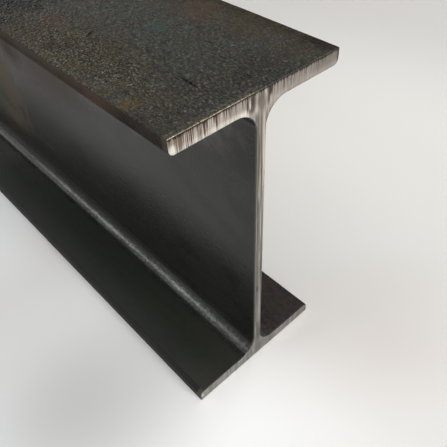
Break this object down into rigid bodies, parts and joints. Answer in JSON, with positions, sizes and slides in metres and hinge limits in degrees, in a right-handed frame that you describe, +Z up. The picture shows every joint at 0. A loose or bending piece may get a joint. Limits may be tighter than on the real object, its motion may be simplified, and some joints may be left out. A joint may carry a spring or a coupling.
{
  "type": "steel i-beam",
  "caption": "Hot-rolled steel I-beam with parallel flanges, root fillets and square sawn ends, for spanning and carrying load in a building frame.",
  "frame": {"origin": "middle of the underside of the bottom flange, half way along the beam", "axes": "+X along the beam's length, towards the end that the picture shows; +Y across the flanges; +Z up the web"},
  "size_m": [1, 0.1, 0.2],
  "materials": {
    "rolled_steel": "matte"
  },
  "bodies": {
    "root": {"i_beam": "rolled_steel"}
  },
  "joints": []
}
